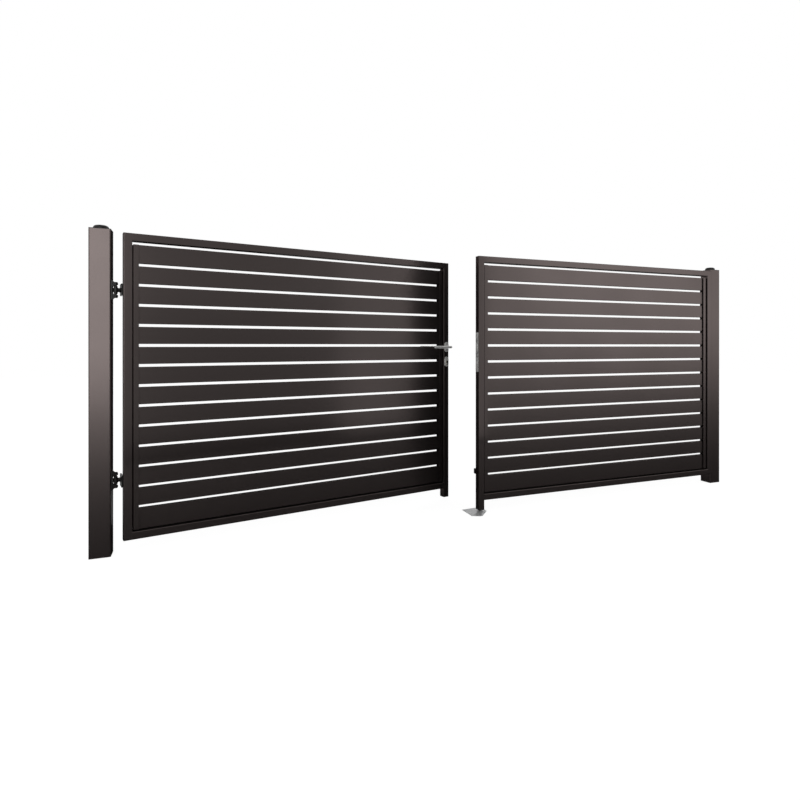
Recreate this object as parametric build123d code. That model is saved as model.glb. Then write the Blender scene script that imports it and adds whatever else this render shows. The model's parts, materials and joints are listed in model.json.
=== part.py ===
from build123d import *
import os

# A double-leaf swing driveway gate: two square posts, two tube-framed leaves filled with
# horizontal boards, four hinges, a lever lock on the left leaf, a drop bolt on the right leaf
# and a ground stop. Millimetres. The origin is the centre of the left post's foot, +X runs along
# the gate to the right post, +Y runs into the property and +Z is up. At rest the left leaf
# stands partly open into the property and the right leaf is closed.

# Posts
POST = 100.0
POST_WALL = 4.0
POST_CORNER = 6.0
POST_HEIGHT = 1687.0
POST_FOOT = 5.0
CAP_PLATE = 3.0
CAP_DOME_RADIUS = 37.0
CAP_DOME_HEIGHT = 21.0
CAP_DOME_ROUND = 16.0
CAP_PLUG = 12.0

# Leaves
LEAF_WIDTH = 2007.0
LEAF_HEIGHT = 1580.0
GROUND_GAP = 87.0
LEG_GAP = 25.0
TUBE_FACE = 40.0
TUBE_DEPTH = 50.0
TUBE_WALL = 2.0
TUBE_CORNER = 3.0
LEAF_BEFORE_POST = 8.0
HINGE_GAP = 48.0
MEETING_GAP = 16.0
LEFT_OPEN_DEG = 11.5

# Boards and the channels that hold their ends
BOARD_PITCH = 105.0
BOARD_GAP = 15.0
BOARD_THICK = 25.0
BOARD_WALL = 1.5
BOARD_COUNT = 14
LOWEST_GAP_FLOOR = 241.0
PANEL_BOTTOM_GAP = 7.0
FOOT_THICK = 3.0
CHANNEL_RECESS = 11.0
CHANNEL_DEPTH = 36.0
CHANNEL_GROOVE = 6.0
CHANNEL_WIDTH = 25.0
CHANNEL_WALL = 2.0
BOARD_INSERT = 20.0

# Hinges: a bracket on the post's inner face, an eye with a stud, a plate on the leaf's edge
HINGE_HEIGHTS = {"lower": 390.0, "upper": 1376.0}
PIVOT_FROM_POST = 20.0
PIVOT_BEHIND_FRONT = 19.0
BRACKET_PLATE = 5.0
BRACKET_WIDTH = 30.0
BRACKET_HEIGHT = 100.0
EAR_FROM_EYE = 26.0
EAR_THICK = 10.0
EAR_RADIUS = 11.0
EAR_ROOT = 18.0
EAR_ROOT_REACH = 8.0
COLLAR_RADIUS = 9.0
COLLAR_HEIGHT = 8.0
EYE_RADIUS = 13.0
EYE_HEIGHT = 22.0
EYE_PLAY = 0.5
PIN_RADIUS = 6.0
PIN_PLAY = 0.05
PIN_STICKS_OUT = 5.0
PIN_HEAD_RADIUS = 8.0
STUD_RADIUS = 10.5
STUD_PAST_PLATE = 20.0
LEAF_PLATE_THICK = 8.0
LEAF_PLATE_HEIGHT = 60.0
LEAF_PLATE_ON_STILE = 37.0
LEAF_PLATE_PAST_STUD = 14.0

# Lock and lever on the left leaf's lock stile
SPINDLE_HEIGHT = 1077.0
CYLINDER_DROP = 102.0
ROSETTE_WIDTH = 32.0
ROSETTE_HEIGHT = 68.0
ROSETTE_THICK = 8.0
LEVER_REACH = 68.0
LEVER_LENGTH = 148.0
LEVER_RADIUS = 9.0
LEVER_NECK_RADIUS = 8.5
LEVER_PLAY = 0.5
SPINDLE_SIDE = 8.0
SPINDLE_BORE_RADIUS = 6.5
CYLINDER_RADIUS = 8.5
CYLINDER_BODY_WIDTH = 10.0
CYLINDER_BODY_HEIGHT = 33.0
CYLINDER_PAST_ROSETTE = 3.0
KEYWAY_WIDTH = 2.0
KEYWAY_HEIGHT = 9.0
KEYWAY_DEPTH = 6.0
FACEPLATE_WIDTH = 24.0
FACEPLATE_HEIGHT = 245.0
FACEPLATE_THICK = 3.0
FACEPLATE_ABOVE_SPINDLE = 90.0
LATCH_ABOVE_SPINDLE = 39.0
LATCH_STICKS_OUT = 4.0
LATCH_WIDTH = 12.0
LATCH_HEIGHT = 30.0
DEADBOLT_BELOW_SPINDLE = 59.0
DEADBOLT_HEIGHT = 36.0
DEADBOLT_STICKS_OUT = 1.0

# Strike plate on the right leaf's lock stile
STRIKE_WIDTH = 36.0
STRIKE_HEIGHT = 254.0
STRIKE_THICK = 3.0
STRIKE_TOP = 1172.0
STRIKE_SLOT_WIDTH = 14.0
STRIKE_LATCH_SLOT = 38.0
STRIKE_DEADBOLT_SLOT = 62.0

# Drop bolt inside the right leaf's lock stile, and the ground stop
BOLT_RADIUS = 6.0
BOLT_LENGTH = 320.0
BOLT_TIP = 27.0
BOLT_TRAVEL = 22.0
KNOB_HEIGHT_ABOVE_GROUND = 266.0
KNOB_STEM_RADIUS = 4.0
KNOB_SIDE = 34.0
KNOB_LENGTH = 22.0
KNOB_TOWARDS_EDGE = 3.0
KNOB_CORNER = 4.0
KNOB_SLOT_PLAY = 2.0
COVER_WIDTH = 30.0
COVER_HEIGHT = 76.0
COVER_THICK = 3.0
PLUG_THICK = 4.0
PLUG_INSERT = 18.0
PLUG_PLAY = 0.2
GUIDE_BORE_PLAY = 0.5
STOP_HEIGHT = 17.0
STOP_BASE = [(-50, -125), (-4, -150), (14, -150), (86, -62), (88, -5), (44, 35), (-50, 26)]
STOP_BASE_HEIGHT = 3.0
STOP_TOP_SIZE = (36.0, 40.0)
STOP_SOCKET_RADIUS = 10.0

OPENING = 2 * (HINGE_GAP + LEAF_WIDTH) + MEETING_GAP
CENTRE_X = POST / 2 + OPENING / 2
RIGHT_POST_X = POST + OPENING
FRONT = -POST / 2
LEAF_BACK = FRONT - LEAF_BEFORE_POST
LEAF_FRONT = LEAF_BACK - TUBE_DEPTH
LEAF_MID = (LEAF_FRONT + LEAF_BACK) / 2
LEAF_HINGE_X = POST / 2 + HINGE_GAP
LEAF_LOCK_X = LEAF_HINGE_X + LEAF_WIDTH
LEAF_TOP = GROUND_GAP + LEAF_HEIGHT
STILE_MID_X = LEAF_LOCK_X - TUBE_FACE / 2
PIVOT_X = POST / 2 + PIVOT_FROM_POST
PIVOT_Y = FRONT + PIVOT_BEHIND_FRONT
PANEL_BOTTOM = GROUND_GAP + TUBE_FACE + PANEL_BOTTOM_GAP
PANEL_TOP = LEAF_TOP - TUBE_FACE - BOARD_GAP
CHANNEL_FRONT = LEAF_FRONT + CHANNEL_RECESS
CHANNEL_BACK = CHANNEL_FRONT + CHANNEL_DEPTH
BOARD_BACK = CHANNEL_BACK - CHANNEL_WALL
LATCH_Z = SPINDLE_HEIGHT + LATCH_ABOVE_SPINDLE
DEADBOLT_Z = SPINDLE_HEIGHT - DEADBOLT_BELOW_SPINDLE
STRIKE_SLOTS = ((LATCH_Z, STRIKE_LATCH_SLOT), (DEADBOLT_Z, STRIKE_DEADBOLT_SLOT))


def span(x0, x1, y0, y1, z0, z1):
    """A box between two corners."""
    middle = ((x0 + x1) / 2, (y0 + y1) / 2, (z0 + z1) / 2)
    return Pos(*middle) * Box(abs(x1 - x0), abs(y1 - y0), abs(z1 - z0))


def rod_x(radius, x0, x1, y, z):
    """A round rod along X."""
    return Pos((x0 + x1) / 2, y, z) * Rot(0, 90, 0) * Cylinder(radius, abs(x1 - x0))


def rod_y(radius, y0, y1, x, z):
    """A round rod along Y."""
    return Pos(x, (y0 + y1) / 2, z) * Rot(90, 0, 0) * Cylinder(radius, abs(y1 - y0))


def rod_z(radius, z0, z1, x, y):
    """A round rod along Z."""
    return Pos(x, y, (z0 + z1) / 2) * Cylinder(radius, abs(z1 - z0))


def mirror_leaf(shape):
    """The same shape on the gate's other side."""
    return mirror(shape, about=Plane.YZ.offset(CENTRE_X))


def open_left(shape):
    """A piece of the left leaf, turned from closed to where it stands at rest."""
    turn = Pos(PIVOT_X, PIVOT_Y, 0) * Rot(0, 0, LEFT_OPEN_DEG) * Pos(-PIVOT_X, -PIVOT_Y, 0)
    return turn * shape


def post(x):
    """A square tube with rounded corners, closed at the foot by a plate inside it."""
    outer = extrude(Pos(x, 0, 0) * RectangleRounded(POST, POST, POST_CORNER), POST_HEIGHT)
    side = POST - 2 * POST_WALL
    hollow = Pos(x, 0, POST_FOOT) * RectangleRounded(side, side, POST_CORNER - POST_WALL)
    return outer - extrude(hollow, POST_HEIGHT - POST_FOOT)


def post_cap(x):
    """A plate with a low round boss on top and a plug that sits in the tube."""
    plate = Pos(x, 0, POST_HEIGHT) * extrude(RectangleRounded(POST, POST, POST_CORNER), CAP_PLATE)
    plug_side = POST - 2 * POST_WALL - 2 * PLUG_PLAY
    plug_outline = RectangleRounded(plug_side, plug_side, POST_CORNER - POST_WALL)
    plug = Pos(x, 0, POST_HEIGHT - CAP_PLUG) * extrude(plug_outline, CAP_PLUG)
    top = POST_HEIGHT + CAP_PLATE
    dome = rod_z(CAP_DOME_RADIUS, top, top + CAP_DOME_HEIGHT, x, 0)
    dome = fillet(dome.edges().group_by(Axis.Z)[-1], CAP_DOME_ROUND)
    return plate + plug + dome


def hinge_ear(height, side):
    """An ear of the bracket: wide at the plate, sloping to a round end at the pin."""
    tip_in, tip_out = EAR_FROM_EYE, EAR_FROM_EYE + EAR_THICK
    outline = [
        (0, EAR_ROOT),
        (EAR_ROOT_REACH, EAR_ROOT),
        (PIVOT_FROM_POST, tip_in),
        (PIVOT_FROM_POST, tip_out),
        (BRACKET_PLATE, BRACKET_HEIGHT / 2),
        (0, BRACKET_HEIGHT / 2),
    ]
    line = Polyline(*[(POST / 2 + x, height + side * z) for x, z in outline], close=True)
    front = Plane((0, PIVOT_Y - EAR_RADIUS, 0), x_dir=(1, 0, 0), z_dir=(0, -1, 0))
    web = extrude(front * make_face(line), 2 * EAR_RADIUS, dir=(0, 1, 0))
    z0, z1 = sorted((height + side * tip_in, height + side * tip_out))
    return web + rod_z(EAR_RADIUS, z0, z1, PIVOT_X, PIVOT_Y)


def hinge_bracket(height):
    """A plate on the post's inner face, two ears, and the hinge pin with a collar at each end."""
    face = POST / 2
    plate_front = FRONT + PIVOT_BEHIND_FRONT - BRACKET_WIDTH / 2
    bracket = span(
        face,
        face + BRACKET_PLATE,
        plate_front,
        plate_front + BRACKET_WIDTH,
        height - BRACKET_HEIGHT / 2,
        height + BRACKET_HEIGHT / 2,
    )
    inner = EYE_HEIGHT / 2 + EYE_PLAY
    for side in (-1, 1):
        z0, z1 = sorted((height + side * inner, height + side * (inner + COLLAR_HEIGHT)))
        bracket += hinge_ear(height, side) + rod_z(COLLAR_RADIUS, z0, z1, PIVOT_X, PIVOT_Y)
    pin_end = EAR_FROM_EYE + EAR_THICK + PIN_STICKS_OUT
    bracket += rod_z(PIN_RADIUS, height - pin_end, height + pin_end, PIVOT_X, PIVOT_Y)
    head_base = height + EAR_FROM_EYE + EAR_THICK
    bracket += rod_z(PIN_HEAD_RADIUS, head_base, height + pin_end, PIVOT_X, PIVOT_Y)
    return bracket


def hinge_eye(height):
    """The eye round the pin, its stud and the plate on the leaf's edge that the stud goes through."""
    half = EYE_HEIGHT / 2
    eye = rod_z(EYE_RADIUS, height - half, height + half, PIVOT_X, PIVOT_Y)
    eye += rod_x(STUD_RADIUS, PIVOT_X, LEAF_HINGE_X + STUD_PAST_PLATE, PIVOT_Y, height)
    eye -= rod_z(PIN_RADIUS + PIN_PLAY, height - half, height + half, PIVOT_X, PIVOT_Y)
    eye += span(
        LEAF_HINGE_X - LEAF_PLATE_THICK,
        LEAF_HINGE_X,
        LEAF_BACK - LEAF_PLATE_ON_STILE,
        PIVOT_Y + LEAF_PLATE_PAST_STUD,
        height - LEAF_PLATE_HEIGHT / 2,
        height + LEAF_PLATE_HEIGHT / 2,
    )
    return eye


def tube(x0, x1, z0, z1):
    """A frame tube of the leaf's depth with rounded corners, open at its two far ends."""
    inner_corner = TUBE_CORNER - TUBE_WALL
    if z1 - z0 > x1 - x0:
        place = Pos((x0 + x1) / 2, LEAF_MID, z0)
        width, depth, length = x1 - x0, TUBE_DEPTH, z1 - z0
    else:
        place = Pos(x0, LEAF_MID, (z0 + z1) / 2) * Rot(0, 90, 0)
        width, depth, length = z1 - z0, TUBE_DEPTH, x1 - x0
    outer = extrude(RectangleRounded(width, depth, TUBE_CORNER), length)
    hollow = RectangleRounded(width - 2 * TUBE_WALL, depth - 2 * TUBE_WALL, inner_corner)
    return place * (outer - extrude(hollow, length))


def mitre_wedge(x, z, toward_x, toward_z):
    """The half of a frame corner that belongs to the upright tube there, for cutting at 45 degrees."""
    corner = Polyline(
        (x, z),
        (x, z + toward_z * TUBE_FACE),
        (x + toward_x * TUBE_FACE, z + toward_z * TUBE_FACE),
        close=True,
    )
    face = Plane((0, LEAF_FRONT, 0), x_dir=(1, 0, 0), z_dir=(0, -1, 0)) * make_face(corner)
    return extrude(face, TUBE_DEPTH, dir=(0, 1, 0))


def cut_mitres(shape, corners):
    """A shape less the mitre wedges at the named frame corners."""
    for corner in corners:
        shape = shape - mitre_wedge(*corner)
    return shape


UPPER_HINGE_CORNER = (LEAF_HINGE_X, LEAF_TOP, 1, -1)
UPPER_LOCK_CORNER = (LEAF_LOCK_X, LEAF_TOP, -1, -1)
LOWER_HINGE_CORNER = (LEAF_HINGE_X, GROUND_GAP, 1, 1)


def corner_block(corner):
    """The square of a frame corner, over the whole depth."""
    x, z, toward_x, toward_z = corner
    x0, x1 = sorted((x, x + toward_x * TUBE_FACE))
    z0, z1 = sorted((z, z + toward_z * TUBE_FACE))
    return span(x0, x1, LEAF_FRONT, LEAF_BACK, z0, z1)


def keep_upright_half(shape, corner):
    """An upright tube cut at 45 degrees at a frame corner."""
    return shape - (corner_block(corner) - mitre_wedge(*corner))


def hinge_stile():
    """The upright tube on the hinge side, mitred at both ends."""
    stile = tube(LEAF_HINGE_X, LEAF_HINGE_X + TUBE_FACE, GROUND_GAP, LEAF_TOP)
    stile = keep_upright_half(stile, UPPER_HINGE_CORNER)
    return keep_upright_half(stile, LOWER_HINGE_CORNER)


def lock_stile():
    """The upright tube on the meeting side, mitred at the top and running down as a leg."""
    stile = tube(LEAF_LOCK_X - TUBE_FACE, LEAF_LOCK_X, LEG_GAP + PLUG_THICK, LEAF_TOP)
    return keep_upright_half(stile, UPPER_LOCK_CORNER)


def left_lock_stile():
    """The lock stile, bored for the lever's spindle and for the lock cylinder."""
    stile = lock_stile()
    through = (LEAF_FRONT, LEAF_BACK)
    stile -= rod_y(SPINDLE_BORE_RADIUS, *through, STILE_MID_X, SPINDLE_HEIGHT)
    return stile - cylinder_profile(*through, PLUG_PLAY)


def right_lock_stile():
    """The lock stile with the strike pockets in its edge and the knob's slot in its back."""
    stile = mirror_leaf(lock_stile())
    edge = 2 * CENTRE_X - LEAF_LOCK_X
    for height, tall in STRIKE_SLOTS:
        stile -= strike_pocket(edge, edge + TUBE_WALL, height, tall)
    return stile - knob_slot(LEAF_BACK - TUBE_WALL, LEAF_BACK)


def top_rail():
    """The top tube, mitred into both stiles."""
    rail = tube(LEAF_HINGE_X, LEAF_LOCK_X, LEAF_TOP - TUBE_FACE, LEAF_TOP)
    return cut_mitres(rail, (UPPER_HINGE_CORNER, UPPER_LOCK_CORNER))


def bottom_rail():
    """The bottom tube, mitred into the hinge stile and butted against the lock stile."""
    rail = tube(LEAF_HINGE_X, LEAF_LOCK_X - TUBE_FACE, GROUND_GAP, GROUND_GAP + TUBE_FACE)
    return cut_mitres(rail, (LOWER_HINGE_CORNER,))


def board_edges():
    """The lower and upper edge of each board, from the ground up."""
    edges = [(PANEL_BOTTOM, LOWEST_GAP_FLOOR)]
    for n in range(1, BOARD_COUNT - 1):
        top = LOWEST_GAP_FLOOR + n * BOARD_PITCH
        edges.append((top - BOARD_PITCH + BOARD_GAP, top))
    last = LOWEST_GAP_FLOOR + (BOARD_COUNT - 2) * BOARD_PITCH + BOARD_GAP
    edges.append((last, PANEL_TOP))
    return edges


def boards():
    """The hollow boards with their ends in the channels, and a strip that closes the gap below."""
    inset = TUBE_FACE + CHANNEL_GROOVE + CHANNEL_WIDTH - BOARD_INSERT
    x0, x1 = LEAF_HINGE_X + inset, LEAF_LOCK_X - inset
    y0, y1 = BOARD_BACK - BOARD_THICK, BOARD_BACK
    made = []
    for z0, z1 in board_edges():
        outer = span(x0, x1, y0, y1, z0, z1)
        wall = BOARD_WALL
        hollow = span(x0, x1, y0 + wall, y1 - wall, z0 + wall, z1 - wall)
        made.append(outer - hollow)
    foot_x0, foot_x1 = LEAF_HINGE_X + TUBE_FACE, LEAF_LOCK_X - TUBE_FACE
    rail_top = GROUND_GAP + TUBE_FACE
    made[0] += span(foot_x0, foot_x1, y1 - FOOT_THICK, y1, rail_top, PANEL_BOTTOM)
    return Compound(made)


def board_channels():
    """A channel beside each stile, open towards the boards, its back wall running on to the stile."""
    tall = (PANEL_BOTTOM, PANEL_TOP)
    made = []
    for x, inward in ((LEAF_HINGE_X + TUBE_FACE, 1), (LEAF_LOCK_X - TUBE_FACE, -1)):
        web = x + inward * CHANNEL_GROOVE
        far = web + inward * CHANNEL_WIDTH
        inside = web + inward * CHANNEL_WALL
        channel = span(web, far, CHANNEL_FRONT, CHANNEL_BACK, *tall)
        channel -= span(inside, far, CHANNEL_FRONT + CHANNEL_WALL, BOARD_BACK, *tall)
        made.append(channel + span(x, web, BOARD_BACK, CHANNEL_BACK, *tall))
    return Compound(made)


def leg_plug():
    """A flat plug that closes the foot of a lock stile."""
    place = Pos(STILE_MID_X, LEAF_MID, LEG_GAP)
    flange = extrude(RectangleRounded(TUBE_FACE, TUBE_DEPTH, TUBE_CORNER), PLUG_THICK)
    inset = 2 * (TUBE_WALL + PLUG_PLAY)
    outline = RectangleRounded(TUBE_FACE - inset, TUBE_DEPTH - inset, TUBE_CORNER - TUBE_WALL)
    return place * (flange + extrude(outline, PLUG_THICK + PLUG_INSERT))


def leg_guide():
    """The right leaf's plug, bored so that the drop bolt runs through it."""
    top = LEG_GAP + PLUG_THICK + PLUG_INSERT
    bore = rod_z(BOLT_RADIUS + GUIDE_BORE_PLAY, LEG_GAP, top, STILE_MID_X, LEAF_MID)
    return mirror_leaf(leg_plug() - bore)


def rosette(height, front):
    """A low oval plate on the lock stile's front or back face."""
    base = LEAF_FRONT if front else LEAF_BACK
    outward = -1 if front else 1
    disc = SlotOverall(ROSETTE_HEIGHT, ROSETTE_WIDTH, rotation=90)
    face = Plane((STILE_MID_X, base, height), x_dir=(1, 0, 0), z_dir=(0, outward, 0)) * disc
    return extrude(face, ROSETTE_THICK)


def lever_rosette(front):
    """The oval plate round the lever's neck."""
    reach = ROSETTE_THICK + TUBE_DEPTH
    through = (LEAF_MID - reach, LEAF_MID + reach)
    bore = rod_y(LEVER_NECK_RADIUS + LEVER_PLAY, *through, STILE_MID_X, SPINDLE_HEIGHT)
    return rosette(SPINDLE_HEIGHT, front) - bore


def cylinder_profile(y0, y1, play):
    """The round and straight parts of a lock cylinder, from y0 to y1, grown by some play."""
    height = SPINDLE_HEIGHT - CYLINDER_DROP
    half = CYLINDER_BODY_WIDTH / 2 + play
    bottom = height - CYLINDER_BODY_HEIGHT + CYLINDER_RADIUS - play
    body = span(STILE_MID_X - half, STILE_MID_X + half, y0, y1, bottom, height)
    return rod_y(CYLINDER_RADIUS + play, y0, y1, STILE_MID_X, height) + body


def cylinder_rosette(front):
    """The oval plate round the lock cylinder."""
    plate = rosette(SPINDLE_HEIGHT - CYLINDER_DROP, front)
    reach = ROSETTE_THICK + TUBE_DEPTH
    return plate - cylinder_profile(LEAF_MID - reach, LEAF_MID + reach, PLUG_PLAY)


def lock_cylinder():
    """The key cylinder through the stile, with a keyway at each end."""
    reach = TUBE_DEPTH / 2 + ROSETTE_THICK + CYLINDER_PAST_ROSETTE
    height = SPINDLE_HEIGHT - CYLINDER_DROP
    body = cylinder_profile(LEAF_MID - reach, LEAF_MID + reach, 0)
    half = KEYWAY_WIDTH / 2
    for end in (LEAF_MID - reach, LEAF_MID + reach):
        inner = end + (KEYWAY_DEPTH if end < LEAF_MID else -KEYWAY_DEPTH)
        y0, y1 = sorted((end, inner))
        z0, z1 = height - KEYWAY_HEIGHT / 2, height + KEYWAY_HEIGHT / 2
        body -= span(STILE_MID_X - half, STILE_MID_X + half, y0, y1, z0, z1)
    return body


def lever(front):
    """A round lever: a neck out of the rosette, a bend and a grip towards the hinge side."""
    outward = -1 if front else 1
    base = LEAF_FRONT if front else LEAF_BACK
    grip_y = base + outward * LEVER_REACH
    neck = rod_y(LEVER_NECK_RADIUS, base, grip_y, STILE_MID_X, SPINDLE_HEIGHT)
    bend = Pos(STILE_MID_X, grip_y, SPINDLE_HEIGHT) * Sphere(LEVER_RADIUS)
    grip_end = STILE_MID_X - LEVER_LENGTH + LEVER_RADIUS
    grip = rod_x(LEVER_RADIUS, grip_end, STILE_MID_X, grip_y, SPINDLE_HEIGHT)
    tip = Pos(grip_end, grip_y, SPINDLE_HEIGHT) * Sphere(LEVER_RADIUS)
    return neck + bend + grip + tip


def lever_spindle():
    """The square bar through the stile that joins the two levers."""
    half = SPINDLE_SIDE / 2
    return span(
        STILE_MID_X - half,
        STILE_MID_X + half,
        LEAF_FRONT,
        LEAF_BACK,
        SPINDLE_HEIGHT - half,
        SPINDLE_HEIGHT + half,
    )


def lock_faceplate():
    """The lock's plate on the stile's edge, with the latch and the drawn-in dead bolt."""
    top = SPINDLE_HEIGHT + FACEPLATE_ABOVE_SPINDLE
    half = FACEPLATE_WIDTH / 2
    outer = LEAF_LOCK_X + FACEPLATE_THICK
    plate = span(LEAF_LOCK_X, outer, LEAF_MID - half, LEAF_MID + half, top - FACEPLATE_HEIGHT, top)
    bolt_half = LATCH_WIDTH / 2
    for height, tall, out in (
        (LATCH_Z, LATCH_HEIGHT, LATCH_STICKS_OUT),
        (DEADBOLT_Z, DEADBOLT_HEIGHT, DEADBOLT_STICKS_OUT),
    ):
        y0, y1 = LEAF_MID - bolt_half, LEAF_MID + bolt_half
        plate += span(LEAF_LOCK_X, outer + out, y0, y1, height - tall / 2, height + tall / 2)
    return plate


def strike_pocket(x0, x1, height, tall):
    """The slot that a latch or bolt enters, between two depths along X."""
    half = STRIKE_SLOT_WIDTH / 2
    return span(x0, x1, LEAF_MID - half, LEAF_MID + half, height - tall / 2, height + tall / 2)


def strike_plate():
    """The long plate with two slots on the edge of the right leaf's lock stile."""
    edge = 2 * CENTRE_X - LEAF_LOCK_X
    half = STRIKE_WIDTH / 2
    outer = edge - STRIKE_THICK
    bottom = STRIKE_TOP - STRIKE_HEIGHT
    plate = span(outer, edge, LEAF_MID - half, LEAF_MID + half, bottom, STRIKE_TOP)
    for height, tall in STRIKE_SLOTS:
        plate -= strike_pocket(outer, edge, height, tall)
    return plate


def knob_slot(y0, y1):
    """The upright slot that the drop bolt's knob slides in."""
    x = 2 * CENTRE_X - STILE_MID_X
    half = KNOB_STEM_RADIUS + KNOB_SLOT_PLAY
    top = KNOB_HEIGHT_ABOVE_GROUND + half
    bottom = KNOB_HEIGHT_ABOVE_GROUND - BOLT_TRAVEL - half
    return span(x - half, x + half, y0, y1, bottom, top)


def drop_bolt_cover():
    """The plate round the knob's slot on the back of the right leaf's lock stile."""
    x = 2 * CENTRE_X - STILE_MID_X
    middle = KNOB_HEIGHT_ABOVE_GROUND - BOLT_TRAVEL / 2
    y1 = LEAF_BACK + COVER_THICK
    z0, z1 = middle - COVER_HEIGHT / 2, middle + COVER_HEIGHT / 2
    plate = span(x - COVER_WIDTH / 2, x + COVER_WIDTH / 2, LEAF_BACK, y1, z0, z1)
    return plate - knob_slot(LEAF_BACK, y1)


def drop_bolt_rod():
    """The round bolt inside the stile, drawn up so that its tip is inside the leg's guide."""
    x = 2 * CENTRE_X - STILE_MID_X
    return rod_z(BOLT_RADIUS, BOLT_TIP, BOLT_TIP + BOLT_LENGTH, x, LEAF_MID)


def drop_bolt_knob():
    """The block that slides behind the stile, flush with its edge, and the stem to the bolt."""
    x = 2 * CENTRE_X - STILE_MID_X
    height = KNOB_HEIGHT_ABOVE_GROUND
    knob_y = LEAF_BACK + COVER_THICK + KNOB_SLOT_PLAY
    stem = rod_y(KNOB_STEM_RADIUS, LEAF_MID, knob_y, x, height)
    stem -= rod_z(BOLT_RADIUS, height - KNOB_SIDE, height + KNOB_SIDE, x, LEAF_MID)
    face = Plane((x - KNOB_TOWARDS_EDGE, knob_y, height), x_dir=(1, 0, 0), z_dir=(0, 1, 0))
    block = extrude(face * RectangleRounded(KNOB_SIDE, KNOB_SIDE, KNOB_CORNER), KNOB_LENGTH)
    return stem + block


def ground_stop():
    """A low faceted ramp on the ground with a socket for the drop bolt in its top."""
    base_line = Polyline(*[(CENTRE_X + x, y) for x, y in STOP_BASE], close=True)
    base = make_face(base_line)
    x = 2 * CENTRE_X - STILE_MID_X
    top = Pos(x, LEAF_MID, STOP_HEIGHT) * Rectangle(*STOP_TOP_SIZE)
    slab = extrude(base, STOP_BASE_HEIGHT)
    ramp = loft([Pos(0, 0, STOP_BASE_HEIGHT) * base, top])
    return slab + ramp - rod_z(STOP_SOCKET_RADIUS, 0, STOP_HEIGHT, x, LEAF_MID)


def all_parts():
    """Every node's name and shape."""
    parts = {
        "left_post": post(0),
        "right_post": post(RIGHT_POST_X),
        "left_post_cap": post_cap(0),
        "right_post_cap": post_cap(RIGHT_POST_X),
        "ground_stop": ground_stop(),
    }
    for level, height in HINGE_HEIGHTS.items():
        parts[f"left_{level}_hinge_bracket"] = hinge_bracket(height)
        parts[f"right_{level}_hinge_bracket"] = mirror_leaf(hinge_bracket(height))
        parts[f"left_{level}_hinge_eye"] = open_left(hinge_eye(height))
        parts[f"right_{level}_hinge_eye"] = mirror_leaf(hinge_eye(height))
    for name, make in (
        ("hinge_stile", hinge_stile),
        ("top_rail", top_rail),
        ("bottom_rail", bottom_rail),
        ("boards", boards),
        ("board_channels", board_channels),
    ):
        parts[f"left_{name}"] = open_left(make())
        parts[f"right_{name}"] = mirror_leaf(make())
    left_only = {
        "left_lock_stile": left_lock_stile(),
        "left_leg_plug": leg_plug(),
        "lock_faceplate": lock_faceplate(),
        "lock_cylinder": lock_cylinder(),
        "lever_rosette_front": lever_rosette(True),
        "lever_rosette_back": lever_rosette(False),
        "cylinder_rosette_front": cylinder_rosette(True),
        "cylinder_rosette_back": cylinder_rosette(False),
        "lever_front": lever(True),
        "lever_back": lever(False),
        "lever_spindle": lever_spindle(),
    }
    for name, shape in left_only.items():
        parts[name] = open_left(shape)
    parts["right_lock_stile"] = right_lock_stile()
    parts["right_leg_guide"] = leg_guide()
    parts["strike_plate"] = strike_plate()
    parts["drop_bolt_cover"] = drop_bolt_cover()
    parts["drop_bolt_rod"] = drop_bolt_rod()
    parts["drop_bolt_knob"] = drop_bolt_knob()
    return parts


os.makedirs("parts", exist_ok=True)
for node, shape in all_parts().items():
    export_step(shape, f"parts/{node}.step")
    print(node, "solids", len(shape.solids()))
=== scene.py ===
import json
import math

import bpy
from mathutils import Matrix, Vector

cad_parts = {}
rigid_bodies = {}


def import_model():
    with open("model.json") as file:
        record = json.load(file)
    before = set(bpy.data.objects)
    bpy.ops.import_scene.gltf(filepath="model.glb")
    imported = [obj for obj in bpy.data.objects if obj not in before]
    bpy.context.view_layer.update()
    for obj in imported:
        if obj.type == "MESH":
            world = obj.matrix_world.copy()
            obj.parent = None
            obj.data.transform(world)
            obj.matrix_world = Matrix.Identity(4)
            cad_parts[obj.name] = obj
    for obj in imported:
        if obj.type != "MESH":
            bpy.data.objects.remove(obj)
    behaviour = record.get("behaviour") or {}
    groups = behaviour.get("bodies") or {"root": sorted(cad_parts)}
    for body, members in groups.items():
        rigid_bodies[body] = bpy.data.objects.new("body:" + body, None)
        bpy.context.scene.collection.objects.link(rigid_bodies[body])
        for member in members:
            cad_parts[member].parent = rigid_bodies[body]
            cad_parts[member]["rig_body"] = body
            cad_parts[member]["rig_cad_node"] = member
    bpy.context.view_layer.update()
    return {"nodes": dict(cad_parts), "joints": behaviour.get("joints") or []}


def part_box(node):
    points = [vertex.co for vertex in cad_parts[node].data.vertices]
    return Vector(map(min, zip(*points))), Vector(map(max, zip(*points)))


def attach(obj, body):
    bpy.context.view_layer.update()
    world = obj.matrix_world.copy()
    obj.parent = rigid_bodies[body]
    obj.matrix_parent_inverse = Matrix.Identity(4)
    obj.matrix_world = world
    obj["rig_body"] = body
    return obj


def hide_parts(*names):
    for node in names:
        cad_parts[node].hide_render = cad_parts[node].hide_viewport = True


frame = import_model()

# The camera
# It stands at chest height on the drive, 3.5 m before the gate and nearer to the left post, and
# looks level towards the right. The shift brings the whole gate into the square picture.
CAMERA_PLACE = (0.470, -3.553, 1.088)
CAMERA_TURN = math.radians(23.38)
CAMERA_LENS = 26.66
CAMERA_SHIFT = (-0.0698, -0.0681)

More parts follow.
